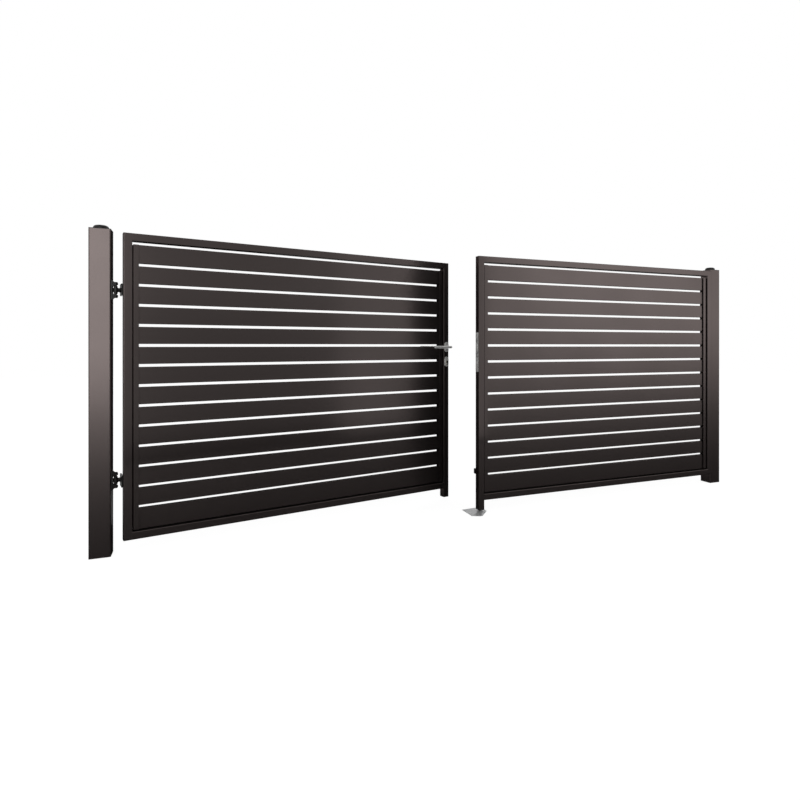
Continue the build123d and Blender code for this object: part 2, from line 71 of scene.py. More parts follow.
bpy.ops.object.select_all(action="DESELECT")
bpy.ops.object.camera_add(location=CAMERA_PLACE, rotation=(math.pi / 2, 0, -CAMERA_TURN))
camera = bpy.context.object
camera.data.lens = CAMERA_LENS
camera.data.shift_x, camera.data.shift_y = CAMERA_SHIFT
bpy.context.scene.camera = camera

# The posts
# Two square steel tubes with rounded corners, their feet closed by a plate, in a dark brown powder
# coat with a fine grain and a satin, slightly metallic sheen.
POST_CORNER = 0.006
POST_WALL = 0.004
FOOT_SEAM = 0.0005
COAT_COLOUR = (0.100, 0.083, 0.080, 1)
COAT_ROUGHNESS = 0.33
COAT_METAL = 0.93
COAT_EDGE_TINT = (0.02, 0.02, 0.02, 1)
COAT_GRAIN = 900
COAT_DEPTH = 0.12
COAT_MOTTLE = 0.05


def block(name, low, high):
    """A box between two corners, as the start of a piece."""
    bpy.ops.object.select_all(action="DESELECT")
    low, high = Vector(low), Vector(high)
    bpy.ops.mesh.primitive_cube_add(size=1, location=(low + high) / 2, scale=high - low)
    bpy.ops.object.transform_apply(location=True, rotation=True, scale=True)
    bpy.context.object.name = name
    return bpy.context.object


def work_on(piece):
    """Makes a piece the only one selected."""
    bpy.ops.object.select_all(action="DESELECT")
    piece.select_set(True)
    bpy.context.view_layer.objects.active = piece


def pick(piece, kind, test):
    """Opens a piece in edit mode and selects those vertices, edges or faces that pass a test."""
    work_on(piece)
    bpy.ops.object.mode_set(mode="EDIT")
    bpy.ops.mesh.select_mode(type=kind)
    bpy.ops.mesh.select_all(action="DESELECT")
    bpy.ops.object.mode_set(mode="OBJECT")
    mesh = piece.data
    for item in {"VERT": mesh.vertices, "EDGE": mesh.edges, "FACE": mesh.polygons}[kind]:
        item.select = test(item)
    bpy.ops.object.mode_set(mode="EDIT")


def runs_along(piece, axis):
    """A test for edges that run along X, Y or Z, given as 0, 1 or 2."""
    points = piece.data.vertices

    def test(edge):
        run = points[edge.vertices[1]].co - points[edge.vertices[0]].co
        return abs(run[axis]) > 0.999 * run.length

    return test


def faces_to(axis, side):
    """A test for faces whose normal points along an axis, to its plus or minus side."""
    return lambda face: face.normal[axis] * side > 0.999


def round_edges(piece, test, width, segments, kind="EDGE"):
    """Bevels the edges, or the rims of the faces, that pass a test."""
    pick(piece, kind, test)
    bpy.ops.mesh.bevel(offset=width, segments=segments, affect="EDGES")
    bpy.ops.object.mode_set(mode="OBJECT")


def face_outwards(piece):
    """Turns a mirrored piece's faces the right way round again."""
    pick(piece, "FACE", lambda face: True)
    bpy.ops.mesh.normals_make_consistent(inside=False)
    bpy.ops.object.mode_set(mode="OBJECT")


def smooth(piece, degrees=35):
    """Shades a piece smooth but for its sharp edges, with its large faces kept flat."""
    work_on(piece)
    bpy.ops.object.shade_smooth_by_angle(angle=math.radians(degrees))
    weighted = piece.modifiers.new("flat_faces", "WEIGHTED_NORMAL")
    weighted.keep_sharp = True
    bpy.ops.object.modifier_apply(modifier="flat_faces")


def wire(tree, kind, inputs, **settings):
    """Adds a node, sets it and wires its inputs, and returns its outputs."""
    node = tree.nodes.new(kind)
    for key, value in settings.items():
        setattr(node, key, value)
    for key, value in inputs.items():
        if isinstance(value, bpy.types.NodeSocket):
            tree.links.new(value, node.inputs[key])
        else:
            node.inputs[key].default_value = value
    return node.outputs


def maths(tree, operation, *values):
    """The result of a Math node on numbers or sockets."""
    return wire(tree, "ShaderNodeMath", dict(enumerate(values)), operation=operation)[0]


def start_group(name, inputs, outputs):
    """A shader node group with named inputs and outputs, and its two end nodes' sockets."""
    tree = bpy.data.node_groups.new(name, "ShaderNodeTree")
    for label, value in inputs.items():
        kind = "NodeSocketColor" if isinstance(value, tuple) else "NodeSocketFloat"
        tree.interface.new_socket(label, in_out="INPUT", socket_type=kind).default_value = value
    for label, kind in outputs.items():
        tree.interface.new_socket(label, in_out="OUTPUT", socket_type=kind)
    given = tree.nodes.new("NodeGroupInput").outputs
    made = tree.nodes.new("NodeGroupOutput").inputs
    return tree, given, made


SURFACE_OUTPUTS = {
    "Color": "NodeSocketColor",
    "Roughness": "NodeSocketFloat",
    "Normal": "NodeSocketVector",
}


def grained_skin():
    """A node group: a fine even grain, as on powder coat and moulded plastic, with a soft mottle."""
    start = {
        "Color": (0.1, 0.1, 0.1, 1), "Roughness": 0.4, "Grain": 900.0, "Depth": 0.1, "Mottle": 0.05
    }
    tree, given, made = start_group("grained_skin", start, SURFACE_OUTPUTS)
    place = wire(tree, "ShaderNodeTexCoord", {})["Object"]
    fine = wire(tree, "ShaderNodeTexNoise", {"Vector": place, "Scale": given["Grain"], "Detail": 2})[0]
    broad = wire(tree, "ShaderNodeTexNoise", {"Vector": place, "Scale": 2.2, "Detail": 3})[0]
    spread = maths(tree, "MULTIPLY", maths(tree, "SUBTRACT", broad, 0.5), given["Mottle"])
    shade = maths(tree, "MULTIPLY_ADD", spread, 4.0, 1.0)
    tint = wire(tree, "ShaderNodeVectorMath", {0: given["Color"], "Scale": shade}, operation="SCALE")[0]
    rough = maths(tree, "MULTIPLY_ADD", spread, -1.5, given["Roughness"])
    bump = {"Height": fine, "Strength": given["Depth"], "Distance": 0.0004}
    tree.links.new(tint, made["Color"])
    tree.links.new(rough, made["Roughness"])
    tree.links.new(wire(tree, "ShaderNodeBump", bump)[0], made["Normal"])
    return tree


def skinned(name, group, values, **shader):
    """A material whose colour, roughness and normal come from a node group."""
    material = bpy.data.materials.new(name)
    material.use_nodes = True
    tree = material.node_tree
    body = tree.nodes["Principled BSDF"]
    made = wire(tree, "ShaderNodeGroup", values, node_tree=group)
    for source, target in (("Color", "Base Color"), ("Roughness", "Roughness"), ("Normal", "Normal")):
        tree.links.new(made[source], body.inputs[target])
    for key, value in shader.items():
        body.inputs[key.replace("_", " ")].default_value = value
    return material


def dress(piece, material, body, slot, *nodes):
    """Gives a finished piece its material and body, and hides the nodes that it stands for."""
    piece.data.materials.clear()
    piece.data.materials.append(material)
    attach(piece, body)
    if nodes:
        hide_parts(*nodes)


GRAIN = grained_skin()
coat_values = {
    "Color": COAT_COLOUR,
    "Roughness": COAT_ROUGHNESS,
    "Grain": COAT_GRAIN,
    "Depth": COAT_DEPTH,
    "Mottle": COAT_MOTTLE,
}
powder_coat = skinned(
    "brown_powder_coat", GRAIN, coat_values, Metallic=COAT_METAL, Specular_Tint=COAT_EDGE_TINT
)

for side in ("left", "right"):
    low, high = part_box(f"{side}_post")
    tube = block(f"{side}_post_tube", low, high)
    round_edges(tube, runs_along(tube, 2), POST_CORNER, 6)
    pick(tube, "FACE", faces_to(2, -1))
    bpy.ops.mesh.inset(thickness=POST_WALL)
    bpy.ops.transform.translate(value=(0, 0, FOOT_SEAM))
    bpy.ops.object.mode_set(mode="OBJECT")
    smooth(tube)
    dress(tube, powder_coat, "posts", "painted_steel_post", f"{side}_post")

# The post caps
# A black plastic cap on each post: a thin square plate with a rounded rim, and on it a low round
# boss with a well rounded top edge, that runs out into the plate with a small fillet.
CAP_PLATE = 0.003
CAP_RIM = 0.0012
BOSS_RADIUS = 0.037
BOSS_ROUND = 0.016
BOSS_FILLET = 0.0016
PLASTIC_COLOUR = (0.007, 0.0065, 0.006, 1)
DARK_SHEEN = 0.25

plastic_values = {
    "Color": PLASTIC_COLOUR, "Roughness": 0.42, "Grain": 1400, "Depth": 0.2, "Mottle": 0.06
}
black_plastic = skinned("black_plastic", GRAIN, plastic_values, Specular_IOR_Level=DARK_SHEEN)


def joined(name, pieces):
    """Several pieces as one mesh."""
    bpy.ops.object.select_all(action="DESELECT")
    for piece in pieces:
        piece.select_set(True)
    bpy.context.view_layer.objects.active = pieces[0]
    bpy.ops.object.join()
    bpy.context.object.name = name
    return bpy.context.object


def placed(name):
    """The primitive just added, named and with its place taken into its mesh."""
    bpy.ops.object.transform_apply(location=True, rotation=True, scale=True)
    bpy.context.object.name = name
    return bpy.context.object


for side in ("left", "right"):
    low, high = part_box(f"{side}_post_cap")
    post_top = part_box(f"{side}_post")[1].z
    centre = (low + high) / 2
    plate_top = post_top + CAP_PLATE
    plate = block("cap_plate", (low.x, low.y, post_top), (high.x, high.y, plate_top))
    round_edges(plate, runs_along(plate, 2), POST_CORNER, 6)
    round_edges(plate, faces_to(2, 1), CAP_RIM, 3, "FACE")
    bpy.ops.object.select_all(action="DESELECT")
    bpy.ops.mesh.primitive_cylinder_add(
        vertices=72,
        radius=BOSS_RADIUS,
        depth=high.z - plate_top,
        location=(centre.x, centre.y, (high.z + plate_top) / 2),
    )
    boss = placed("cap_boss")
    round_edges(boss, faces_to(2, 1), BOSS_ROUND, 12, "FACE")
    bpy.ops.object.select_all(action="DESELECT")
    bpy.ops.mesh.primitive_torus_add(
        location=(centre.x, centre.y, plate_top),
        major_radius=BOSS_RADIUS,
        minor_radius=BOSS_FILLET,
        major_segments=72,
        minor_segments=10,
    )
    fillet = placed("cap_fillet")
    cap = joined(f"{side}_cap_moulding", [plate, boss, fillet])
    smooth(cap)
    dress(cap, black_plastic, "posts", "cap_plastic", f"{side}_post_cap")

# The leaf frames
# Each leaf is a frame of rectangular steel tube, mitred and welded at three corners, with the
# bottom tube butted to the lock stile, which runs down as a leg. A channel at each side holds
# the boards' ends.
EDGE_SOFTNESS = 0.0004
PLATE_SOFTNESS = 0.0005
MOULDED_SOFTNESS = 0.0006
FORGED_SOFTNESS = 0.0008
CAST_SOFTNESS = 0.0012
KNOB_SOFTNESS = 0.0015
MERGE_DISTANCE = 0.00001

SPAN = (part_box("right_post")[0].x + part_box("right_post")[1].x) / 2
swing = next(joint for joint in frame["joints"] if joint["name"] == "left_leaf_swing")
PIVOT = Vector(swing["pos_m"])
REST_TURN = math.radians(-swing["range_deg"][0])
TO_PIVOT = Matrix.Translation(PIVOT)
HANG_LEFT = TO_PIVOT @ Matrix.Rotation(REST_TURN, 4, "Z") @ TO_PIVOT.inverted()
HANG_RIGHT = Matrix.Translation((SPAN, 0, 0)) @ Matrix.Scale(-1, 4, (1, 0, 0))


def hang(piece, side):
    """Takes a piece made on the closed left leaf to where that leaf or the other one stands."""
    work_on(piece)
    piece.matrix_world = (HANG_LEFT if side == "left" else HANG_RIGHT) @ piece.matrix_world
    bpy.ops.object.transform_apply(location=True, rotation=True, scale=True)
    if side == "right":
        face_outwards(piece)
    return piece


def softened(node, name, width=EDGE_SOFTNESS, segments=2):
    """A copy of a steel part with its edges just broken, for one that is cut or drilled."""
    work_on(frame["nodes"][node])
    bpy.ops.object.duplicate()
    piece = bpy.context.object
    piece.name = name
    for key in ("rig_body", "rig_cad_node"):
        del piece[key]
    piece.parent = None
    pick(piece, "FACE", lambda face: True)
    bpy.ops.mesh.remove_doubles(threshold=MERGE_DISTANCE)
    bpy.ops.mesh.dissolve_limited(angle_limit=math.radians(1), delimit={"NORMAL"})
    bpy.ops.object.mode_set(mode="OBJECT")
    bevel = piece.modifiers.new("edges", "BEVEL")
    bevel.width = width
    bevel.segments = segments
    bevel.limit_method = "ANGLE"
    bevel.angle_limit = math.radians(50)
    bpy.ops.object.modifier_apply(modifier="edges")
    smooth(piece, 40)
    return piece


for side in ("left", "right"):
    for part in ("hinge_stile", "lock_stile", "top_rail", "bottom_rail", "board_channels"):
        node = f"{side}_{part}"
        piece = softened(node, f"{node}_steel")
        dress(piece, powder_coat, f"{side}_leaf", "painted_steel_leaf", node)

# The boards
# Fourteen hollow box profiles in each leaf, laid level with a narrow gap between them and their
# ends in the channels. The lowest board is taller and stands on a strip on the bottom tube.
BOARD_COUNT = 14
BOARD_PITCH = 0.105
BOARD_GAP = 0.015
LOWEST_TOP = 0.241
BOARD_EDGE = 0.0015
BOARD_END = 0.011
STRIP_HEIGHT = 0.007
STRIP_THICK = 0.003

boards_low, boards_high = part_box("right_boards")
strip_x = (SPAN - boards_high.x, SPAN - boards_low.x)
board_x = (strip_x[0] + BOARD_END, strip_x[1] - BOARD_END)
board_y = (boards_low.y, boards_high.y)
board_foot = boards_low.z + STRIP_HEIGHT
for side in ("left", "right"):
    strip_low = (strip_x[0], boards_high.y - STRIP_THICK, boards_low.z)
    made = [block("strip", strip_low, (strip_x[1], boards_high.y, board_foot))]
    for n in range(BOARD_COUNT):
        top = LOWEST_TOP + n * BOARD_PITCH
        bottom = board_foot if n == 0 else top - BOARD_PITCH + BOARD_GAP
        top = boards_high.z if n == BOARD_COUNT - 1 else top
        board = block("board", (board_x[0], board_y[0], bottom), (board_x[1], board_y[1], top))
        round_edges(board, runs_along(board, 0), BOARD_EDGE, 3)
        made.append(board)
    panel = hang(joined(f"{side}_panel_boards", made), side)
    smooth(panel)
    dress(panel, powder_coat, f"{side}_leaf", "painted_steel_leaf", f"{side}_boards")

# The hinges
# A bracket with two sloping ears on each post, an eye with a threaded stud between them, and a
# plate welded to the leaf's edge that the stud goes through: a collar on its near side, and a
# washer and a nut on its far side.
BLACK_STEEL_COLOUR = (0.008, 0.0075, 0.007, 1)
ZINC_COLOUR = (0.50, 0.50, 0.49, 1)
NUT_ACROSS = 0.0125
NUT_THICK = 0.009
WELD_COLLAR_RADIUS = 0.0125
WELD_COLLAR_THICK = 0.003
NUT_CHAMFER = 0.0009
WASHER_RADIUS = 0.0155
WASHER_THICK = 0.0015
WASHER_EDGE = 0.0003
BOLT_HEAD_ACROSS = 0.0045
BOLT_HEAD_THICK = 0.0035
BOLT_FROM_CENTRE = 0.032
BOLT_FROM_POST = 0.011
EAR_HALF_WIDTH = 0.011
PIN_NUT_ACROSS = 0.0085
EAR_OUTER = 0.036
PIN_END = 0.041
THREAD_PITCH = 0.0025
THREAD_DEPTH = 0.0011
THREAD_STANDS = 0.0003
STUD_RADIUS = 0.0105
STUD_END = 0.020
LEAF_PLATE = 0.008

black_steel_values = {
    "Color": BLACK_STEEL_COLOUR, "Roughness": 0.4, "Grain": 700, "Depth": 0.15, "Mottle": 0.1
}
black_steel = skinned("black_hinge_steel", GRAIN, black_steel_values, Specular_IOR_Level=DARK_SHEEN)


def brushed_skin():
    """A node group: fine parallel scratches and a soft cloudiness, as on brushed or rolled metal."""
    start = {"Color": (0.5, 0.5, 0.5, 1), "Roughness": 0.3, "Fine": 300.0, "Depth": 0.1, "Cloud": 0.1}
    tree, given, made = start_group("brushed_skin", start, SURFACE_OUTPUTS)
    place = wire(tree, "ShaderNodeTexCoord", {})["Object"]
    stretch = wire(tree, "ShaderNodeMapping", {"Vector": place, "Scale": (0.06, 1.0, 1.0)})[0]
    lines = wire(tree, "ShaderNodeTexNoise", {"Vector": stretch, "Scale": given["Fine"], "Detail": 4})[0]
    cloud = wire(tree, "ShaderNodeTexNoise", {"Vector": place, "Scale": 35, "Detail": 3})[0]
    spread = maths(tree, "MULTIPLY", maths(tree, "SUBTRACT", cloud, 0.5), given["Cloud"])
    shade = maths(tree, "MULTIPLY_ADD", spread, 2.0, 1.0)
    tint = wire(tree, "ShaderNodeVectorMath", {0: given["Color"], "Scale": shade}, operation="SCALE")[0]
    rough = maths(tree, "ADD", spread, given["Roughness"])
    bump = {"Height": lines, "Strength": given["Depth"], "Distance": 0.0002}
    tree.links.new(tint, made["Color"])
    tree.links.new(rough, made["Roughness"])
    tree.links.new(wire(tree, "ShaderNodeBump", bump)[0], made["Normal"])
    return tree


BRUSHED = brushed_skin()
zinc_values = {"Color": ZINC_COLOUR, "Roughness": 0.36, "Fine": 120, "Depth": 0.05, "Cloud": 0.6}
zinc_plate = skinned("zinc_plated_steel", BRUSHED, zinc_values, Metallic=1.0)


def round_bar(name, radius, start, end, sides=32):
    """A straight round bar between two points, as the start of a piece."""
    start, end = Vector(start), Vector(end)
    turn = (end - start).to_track_quat("Z", "Y").to_euler()
    bpy.ops.object.select_all(action="DESELECT")
    bpy.ops.mesh.primitive_cylinder_add(
        vertices=sides,
        radius=radius,
        depth=(end - start).length,
        location=(start + end) / 2,
        rotation=turn,
    )
    return placed(name)


def hex_nut(across, start, end):
    """A hexagonal nut or bolt head between two points, its corners chamfered."""
    nut = round_bar("nut", across / math.cos(math.pi / 6), start, end, 6)
    along = (Vector(end) - Vector(start)).normalized()
    round_edges(nut, lambda face: abs(face.normal.dot(along)) > 0.99, NUT_CHAMFER, 1, "FACE")
    return nut


def washer(radius, start, end):
    """A flat round washer with its outer edges broken."""
    disc = round_bar("washer", radius, start, end)
    along = (Vector(end) - Vector(start)).normalized()
    round_edges(disc, lambda face: abs(face.normal.dot(along)) > 0.99, WASHER_EDGE, 1, "FACE")
    return disc


def screw_thread(start, end, radius):
    """Thread ridges round a bar from one point to the other, one ridge a pitch."""
    start, end = Vector(start), Vector(end)
    along = (end - start).normalized()
    turn = along.to_track_quat("Z", "Y").to_euler()
    halves, root = [], radius - THREAD_DEPTH
    for first, second, shift in ((root, radius, 0.25), (radius, root, 0.75)):
        bpy.ops.object.select_all(action="DESELECT")
        bpy.ops.mesh.primitive_cone_add(
            vertices=24,
            radius1=first,
            radius2=second,
            depth=THREAD_PITCH / 2,
            location=start + along * THREAD_PITCH * shift,
            rotation=turn,
            end_fill_type="NOTHING",
        )
        halves.append(placed("ridge"))
    thread = joined("thread", halves)
    array = thread.modifiers.new("ridges", "ARRAY")
    array.use_relative_offset = False
    array.use_constant_offset = True
    array.constant_offset_displace = along * THREAD_PITCH
    array.count = int((end - start).length / THREAD_PITCH)
    array.use_merge_vertices = True
    array.merge_threshold = MERGE_DISTANCE
    bpy.ops.object.modifier_apply(modifier="ridges")
    return thread


for side in ("left", "right"):
    for level in ("lower", "upper"):
        bracket_node, eye_node = f"{side}_{level}_hinge_bracket", f"{side}_{level}_hinge_eye"
        low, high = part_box(bracket_node)
        height = (low.z + high.z) / 2
        post_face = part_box("left_post")[1].x
        leaf_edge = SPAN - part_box("right_hinge_stile")[1].x
        pin = (PIVOT.x, PIVOT.y)
        pin_nuts = [
            hex_nut(PIN_NUT_ACROSS, (*pin, height + EAR_OUTER), (*pin, height + PIN_END)),
            hex_nut(PIN_NUT_ACROSS, (*pin, height - PIN_END), (*pin, height - EAR_OUTER)),
        ]
        bolts = []
        bolt_x, ear_front = post_face + BOLT_FROM_POST, PIVOT.y - EAR_HALF_WIDTH
        for up in (-1, 1):
            z = height + up * BOLT_FROM_CENTRE
            head = ear_front - BOLT_HEAD_THICK
            bolts.append(hex_nut(BOLT_HEAD_ACROSS, (bolt_x, ear_front, z), (bolt_x, head, z)))
        for name, parts in (("pin_nuts", pin_nuts), ("bracket_bolts", bolts)):
            fixings = joined(f"{side}_{level}_{name}", parts)
            if side == "right":
                hang(fixings, "right")
            smooth(fixings)
            dress(fixings, black_steel, "posts", "hinge_steel")
        bracket = softened(bracket_node, f"{bracket_node}_steel", FORGED_SOFTNESS)
        dress(bracket, black_steel, "posts", "hinge_steel", bracket_node)
        eye = softened(eye_node, f"{eye_node}_steel", FORGED_SOFTNESS)
        dress(eye, black_steel, f"{side}_leaf", "hinge_steel", eye_node)
        outer, inner = leaf_edge - LEAF_PLATE, leaf_edge
        seat, nut_end = inner + WASHER_THICK, inner + WASHER_THICK + NUT_THICK
        weld_end = outer - WELD_COLLAR_THICK
        stud = [
            washer(WELD_COLLAR_RADIUS, (outer, PIVOT.y, height), (weld_end, PIVOT.y, height)),
            washer(WASHER_RADIUS, (inner, PIVOT.y, height), (seat, PIVOT.y, height)),
            hex_nut(NUT_ACROSS, (seat, PIVOT.y, height), (nut_end, PIVOT.y, height)),
        ]
        nuts = hang(joined(f"{side}_{level}_stud_nuts", stud), side)
        smooth(nuts)
        dress(nuts, black_steel, f"{side}_leaf", "hinge_steel")
        thread_ends = ((inner, PIVOT.y, height), (inner + STUD_END, PIVOT.y, height))
        thread = hang(screw_thread(*thread_ends, STUD_RADIUS + THREAD_STANDS), side)
        thread.name = f"{side}_{level}_stud_thread"
        smooth(thread)
        dress(thread, zinc_plate, f"{side}_leaf", "zinc")

# The lock and the levers
# A lever on each face of the left leaf's lock stile, both on one square spindle, over oval plates,
# with a key cylinder below. All of it is satin stainless steel, but for the nickel cylinder.
STAINLESS_COLOUR = (0.80, 0.80, 0.785, 1)
STAINLESS_METAL = 0.5
NICKEL_COLOUR = (0.55, 0.52, 0.45, 1)
BRIGHT_STEEL_COLOUR = (0.48, 0.48, 0.48, 1)
LEVER_RADIUS = 0.009
LEVER_REACH = 0.068
LEVER_LENGTH = 0.148
BEND_RADIUS = 0.0095
GRIP_END_ROUND = 0.0035
COLLAR_RADIUS = 0.0115
COLLAR_THICK = 0.004
COLLAR_EDGE = 0.0012
ROSETTE_EDGE = 0.0025
ROSETTE_WIDTH = 0.032
ROSETTE_HEIGHT = 0.068
ROSETTE_THICK = 0.008
SPINDLE_HEIGHT = 1.077
CYLINDER_DROP = 0.102

stainless_values = {
    "Color": STAINLESS_COLOUR, "Roughness": 0.28, "Fine": 500, "Depth": 0.12, "Cloud": 0.15
}
stainless = skinned("brushed_stainless", BRUSHED, stainless_values, Metallic=STAINLESS_METAL)
nickel_values = {
    "Color": NICKEL_COLOUR, "Roughness": 0.25, "Fine": 800, "Depth": 0.05, "Cloud": 0.1
}
nickel = skinned("satin_nickel", BRUSHED, nickel_values, Metallic=1.0)
bright_values = {
    "Color": BRIGHT_STEEL_COLOUR, "Roughness": 0.3, "Fine": 700, "Depth": 0.08, "Cloud": 0.3
}
bright_steel = skinned("bright_bolt_steel", BRUSHED, bright_values, Metallic=1.0)

stile_low, stile_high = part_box("right_lock_stile")
lock_x = SPAN - (stile_low.x + stile_high.x) / 2
leaf_front, leaf_back = stile_low.y, stile_high.y


def oval_plate(height, face, outward):
    """A low oval plate on the stile: a disc pulled apart upwards, its rim rounded off."""
    plate = round_bar(
        "oval_plate",
        ROSETTE_WIDTH / 2,
        (lock_x, face, height),
        (lock_x, face + outward * ROSETTE_THICK, height),
        64,
    )
    stretch = (ROSETTE_HEIGHT - ROSETTE_WIDTH) / 2
    for up in (-1, 1):
        pick(plate, "VERT", lambda v: (v.co.z - height) * up > MERGE_DISTANCE)
        bpy.ops.transform.translate(value=(0, 0, up * stretch))
        bpy.ops.object.mode_set(mode="OBJECT")
    round_edges(plate, faces_to(1, outward), ROSETTE_EDGE, 4, "FACE")
    return plate


def lever_handle():
    """The front lever: a round bar out of the plate, round a bend and along the leaf."""
    face, outward = leaf_front, -1
    neck_end = face + outward * (LEVER_REACH - BEND_RADIUS)
    bpy.ops.object.select_all(action="DESELECT")
    bpy.ops.mesh.primitive_circle_add(
        vertices=32,
        radius=LEVER_RADIUS,
        location=(lock_x, face, SPINDLE_HEIGHT),
        rotation=(math.pi / 2, 0, 0),
        fill_type="NGON",
    )
    bar = placed("lever_bar")
    pick(bar, "FACE", lambda face: True)
    bpy.ops.mesh.extrude_region_move(TRANSFORM_OT_translate={"value": (0, neck_end - face, 0)})
    bpy.ops.mesh.spin(
        steps=12,
        angle=math.pi / 2,
        center=(lock_x - BEND_RADIUS, neck_end, SPINDLE_HEIGHT),
        axis=(0, 0, -outward),
    )
    grip = LEVER_LENGTH - BEND_RADIUS - LEVER_RADIUS
    bpy.ops.mesh.extrude_region_move(TRANSFORM_OT_translate={"value": (-grip, 0, 0)})
    bpy.ops.object.mode_set(mode="OBJECT")
    tip_x = lock_x - BEND_RADIUS - grip
    pick(bar, "FACE", lambda end: abs(end.center.x - tip_x) < MERGE_DISTANCE and abs(end.normal.x) > 0.9)
    bpy.ops.mesh.bevel(offset=GRIP_END_ROUND, segments=4, affect="EDGES")
    bpy.ops.mesh.select_all(action="SELECT")
    bpy.ops.mesh.remove_doubles(threshold=MERGE_DISTANCE)
    bpy.ops.mesh.normals_make_consistent(inside=False)
    bpy.ops.object.mode_set(mode="OBJECT")
    collar_start = face + outward * ROSETTE_THICK
    collar = round_bar(
        "collar",
        COLLAR_RADIUS,
        (lock_x, collar_start, SPINDLE_HEIGHT),
        (lock_x, collar_start + outward * COLLAR_THICK, SPINDLE_HEIGHT),
        48,
    )
    round_edges(collar, faces_to(1, outward), COLLAR_EDGE, 3, "FACE")
    return joined("lever", [bar, collar])


def to_back(piece):
    """The same piece on the leaf's other face."""
    middle = Matrix.Translation((0, leaf_front + leaf_back, 0))
    piece.matrix_world = middle @ Matrix.Scale(-1, 4, (0, 1, 0)) @ piece.matrix_world
    work_on(piece)
    bpy.ops.object.transform_apply(location=True, rotation=True, scale=True)
    face_outwards(piece)
    return piece


for which, face, outward in (("front", leaf_front, -1), ("back", leaf_back, 1)):
    handle = lever_handle() if which == "front" else to_back(lever_handle())
    hang(handle, "left")
    handle.name = f"lever_handle_{which}"
    smooth(handle)
    dress(handle, stainless, "lever", "stainless", f"lever_{which}")
    for part, height in (("lever", SPINDLE_HEIGHT), ("cylinder", SPINDLE_HEIGHT - CYLINDER_DROP)):
        plate = hang(oval_plate(height, face, outward), "left")
        plate.name = f"{part}_oval_plate_{which}"
        smooth(plate)
        dress(plate, stainless, "left_leaf", "stainless", f"{part}_rosette_{which}")
cylinder = softened("lock_cylinder", "key_cylinder", PLATE_SOFTNESS)
dress(cylinder, nickel, "left_leaf", "brass_cylinder", "lock_cylinder")
frame["nodes"]["lever_spindle"].data.materials.clear()
frame["nodes"]["lever_spindle"].data.materials.append(bright_steel)

# The lock's face plate and the strike plate
# Two long stainless plates that face each other where the leaves meet, each held by two
# countersunk screws. The strike plate has a slot for the latch and one for the dead bolt.
SCREW_RADIUS = 0.0045
SCREW_STANDS = 0.0006
SCREW_FROM_END = 0.012
SCREW_EDGE = 0.0003
SLOT_WIDTH = 0.0012
SLOT_REACH = 0.0036
CUTTER_STANDS = 0.0008


def slotted_screws(node, side, name):
    """Two flat screw heads with a straight slot on a plate's face, near its ends."""
    strike_low, strike_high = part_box("strike_plate")
    x = SPAN - stile_low.x + strike_high.x - strike_low.x
    y = (strike_low.y + strike_high.y) / 2
    low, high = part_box(node)
    heads = []
    for z in (low.z + SCREW_FROM_END, high.z - SCREW_FROM_END):
        head = round_bar("screw", SCREW_RADIUS, (x, y, z), (x + SCREW_STANDS, y, z), 24)
        round_edges(head, faces_to(0, 1), SCREW_EDGE, 2, "FACE")
        slot_low = (x, y - SLOT_REACH, z - SLOT_WIDTH / 2)
        slot_high = (x + CUTTER_STANDS, y + SLOT_REACH, z + SLOT_WIDTH / 2)
        cutter = block("slot_cutter", slot_low, slot_high)
        cut = head.modifiers.new("slot", "BOOLEAN")
        cut.object = cutter
        work_on(head)
        bpy.ops.object.modifier_apply(modifier="slot")
        bpy.data.objects.remove(cutter)
        heads.append(head)
    screws = hang(joined(name, heads), side)
    smooth(screws)
    dress(screws, zinc_plate, f"{side}_leaf", "zinc")


face_plate = softened("lock_faceplate", "lock_face_plate", PLATE_SOFTNESS)
dress(face_plate, stainless, "left_leaf", "stainless", "lock_faceplate")
strike = softened("strike_plate", "strike_plate_steel", PLATE_SOFTNESS)
dress(strike, stainless, "right_leaf", "stainless", "strike_plate")
slotted_screws("lock_faceplate", "left", "face_plate_screws")
slotted_screws("strike_plate", "right", "strike_screws")

# The drop bolt and the legs' plugs
# A steel rod inside the right leaf's lock stile, worked by a black block behind the stile that
# slides in a slotted cover. Plastic plugs close the stiles' feet, and the right one guides the rod.
for node, name, body, width in (
    ("drop_bolt_knob", "drop_bolt_block", "drop_bolt", KNOB_SOFTNESS),
    ("left_leg_plug", "left_foot_plug", "left_leaf", MOULDED_SOFTNESS),
    ("right_leg_guide", "right_foot_guide", "right_leaf", MOULDED_SOFTNESS),
):
    dress(softened(node, name, width, 3), black_plastic, body, "cap_plastic", node)
cover = softened("drop_bolt_cover", "drop_bolt_slot_cover", MOULDED_SOFTNESS)
dress(cover, black_steel, "right_leaf", "hinge_steel", "drop_bolt_cover")
rod = softened("drop_bolt_rod", "drop_bolt_bar", CAST_SOFTNESS, 3)
dress(rod, bright_steel, "drop_bolt", "bolt_steel", "drop_bolt_rod")

# The ground stop
# A low faceted casting screwed to the ground under the meeting stiles, zinc coated, with a socket
# in its raised middle that takes the drop bolt.
STOP_COLOUR = (0.56, 0.565, 0.57, 1)
STOP_METAL = 0.35

stop_values = {"Color": STOP_COLOUR, "Roughness": 0.42, "Fine": 60, "Depth": 0.1, "Cloud": 0.7}
cast_zinc = skinned("cast_zinc", BRUSHED, stop_values, Metallic=STOP_METAL)
stop = softened("ground_stop", "ground_stop_casting", CAST_SOFTNESS, 3)
dress(stop, cast_zinc, "posts", "zinc", "ground_stop")

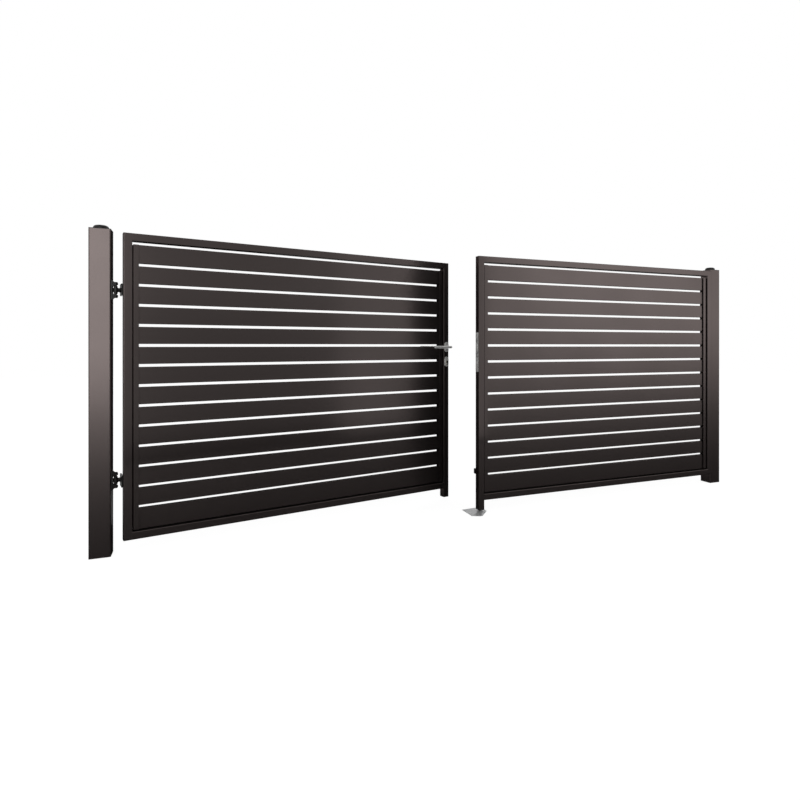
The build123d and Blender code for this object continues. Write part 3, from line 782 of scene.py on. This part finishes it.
# The floor and the light
# A white floor that keeps a soft shadow, a white surround, and large soft lights to the left and
# right of the camera. Dark and grey cards that only reflections see give the satin coat its shades.
FLOOR_REACH = 40.0
FLOOR_DROP = 0.0005
FLOOR_SHARE = 0.62
FLOOR_GLOW = 1.46
FLOOR_COLOUR = (0.80, 0.80, 0.80, 1)
SURROUND_LEVEL = 0.42
WHITE = (1, 1, 1, 1)


def background_rays(tree):
    """1 for the rays that show the background: the camera's, reflections and those through glass."""
    ray = wire(tree, "ShaderNodeLightPath", {})
    seen = maths(tree, "MAXIMUM", ray["Is Camera Ray"], ray["Is Glossy Ray"])
    return maths(tree, "MAXIMUM", seen, ray["Is Transmission Ray"])


bpy.ops.object.select_all(action="DESELECT")
bpy.ops.mesh.primitive_plane_add(size=FLOOR_REACH, location=(SPAN / 2, 0, -FLOOR_DROP))
floor = placed("floor")
floor_paint = bpy.data.materials.new("floor_white")
floor_paint.use_nodes = True
tree = floor_paint.node_tree
tree.nodes.remove(tree.nodes["Principled BSDF"])
lit = wire(tree, "ShaderNodeBsdfDiffuse", {"Color": FLOOR_COLOUR})[0]
glow = wire(tree, "ShaderNodeEmission", {"Color": WHITE, "Strength": FLOOR_GLOW})[0]
share = maths(tree, "MULTIPLY", background_rays(tree), FLOOR_SHARE)
both = wire(tree, "ShaderNodeMixShader", {0: share, 1: lit, 2: glow})[0]
tree.links.new(both, tree.nodes["Material Output"].inputs["Surface"])
floor.data.materials.append(floor_paint)

world = bpy.data.worlds.new("surround")
bpy.context.scene.world = world
world.use_nodes = True
tree = world.node_tree
background = tree.nodes["Background"]
background.inputs["Color"].default_value = WHITE
seen = background_rays(tree)
level = wire(tree, "ShaderNodeMapRange", {"Value": seen, "To Min": SURROUND_LEVEL, "To Max": 1.0})[0]
tree.links.new(level, background.inputs["Strength"])


def soft_light(name, place, target, size, brightness):
    """A rectangular area light aimed at a point, its brightness given for each part of its face."""
    bpy.ops.object.select_all(action="DESELECT")
    turn = (Vector(target) - Vector(place)).to_track_quat("-Z", "Y").to_euler()
    bpy.ops.object.light_add(type="AREA", location=place, rotation=turn)
    light = bpy.context.object
    light.name = name
    light.data.shape = "RECTANGLE"
    light.data.size, light.data.size_y = size
    light.data.energy = brightness * math.pi * size[0] * size[1]


soft_light(
    "left_softbox", place=(-0.5, -3.2, 1.75), target=(-0.05, 0, 1.75), size=(1.4, 2.6), brightness=2.65
)
soft_light(
    "right_softbox", place=(6.1, -3.2, 2.1), target=(4.0, 0, 1.7), size=(3.4, 2.5), brightness=0.8
)


def card(name, grey, place, size, turn):
    """A flat card that only reflections see, and only from the side that it faces."""
    bpy.ops.object.select_all(action="DESELECT")
    bpy.ops.mesh.primitive_plane_add(size=1, location=place, rotation=turn)
    flat = bpy.context.object
    flat.scale = (*size, 1)
    flat = placed(name)
    paint = bpy.data.materials.new(f"{name}_paint")
    paint.use_nodes = True
    tree = paint.node_tree
    tree.nodes.remove(tree.nodes["Principled BSDF"])
    shine = wire(tree, "ShaderNodeEmission", {"Color": WHITE, "Strength": grey})[0]
    clear = wire(tree, "ShaderNodeBsdfTransparent", {})[0]
    back = wire(tree, "ShaderNodeNewGeometry", {})["Backfacing"]
    both = wire(tree, "ShaderNodeMixShader", {0: back, 1: shine, 2: clear})[0]
    tree.links.new(both, tree.nodes["Material Output"].inputs["Surface"])
    flat.data.materials.append(paint)
    flat.visible_camera = flat.visible_shadow = False
    flat.visible_diffuse = flat.visible_transmission = False


FACES_UP, FACES_GATE, FACES_DRIVE = (0, 0, 0), (-math.pi / 2, 0, 0), (math.pi / 2, 0, 0)
card("ground_card", grey=0.01, place=(4, -2.9, 0.001), size=(14, 7.0), turn=FACES_UP)
card("front_card_low", grey=0.30, place=(1.07, -0.7, 0.9), size=(1.74, 0.9), turn=FACES_GATE)
card("front_card_high", grey=0.42, place=(1.07, -0.7, 2.9), size=(1.74, 3.1), turn=FACES_GATE)
card("front_card_side", grey=0.65, place=(1.97, -0.35, 2.45), size=(0.7, 4.0), turn=FACES_GATE)
card("meeting_card", grey=0.0, place=(2.6, -0.05, 1.3), size=(1.0, 2.6), turn=FACES_GATE)
card("post_card", grey=0.0, place=(0.5, 1.6, 1.3), size=(1.0, 2.6), turn=FACES_DRIVE)

bpy.context.scene.view_settings.view_transform = "Standard"
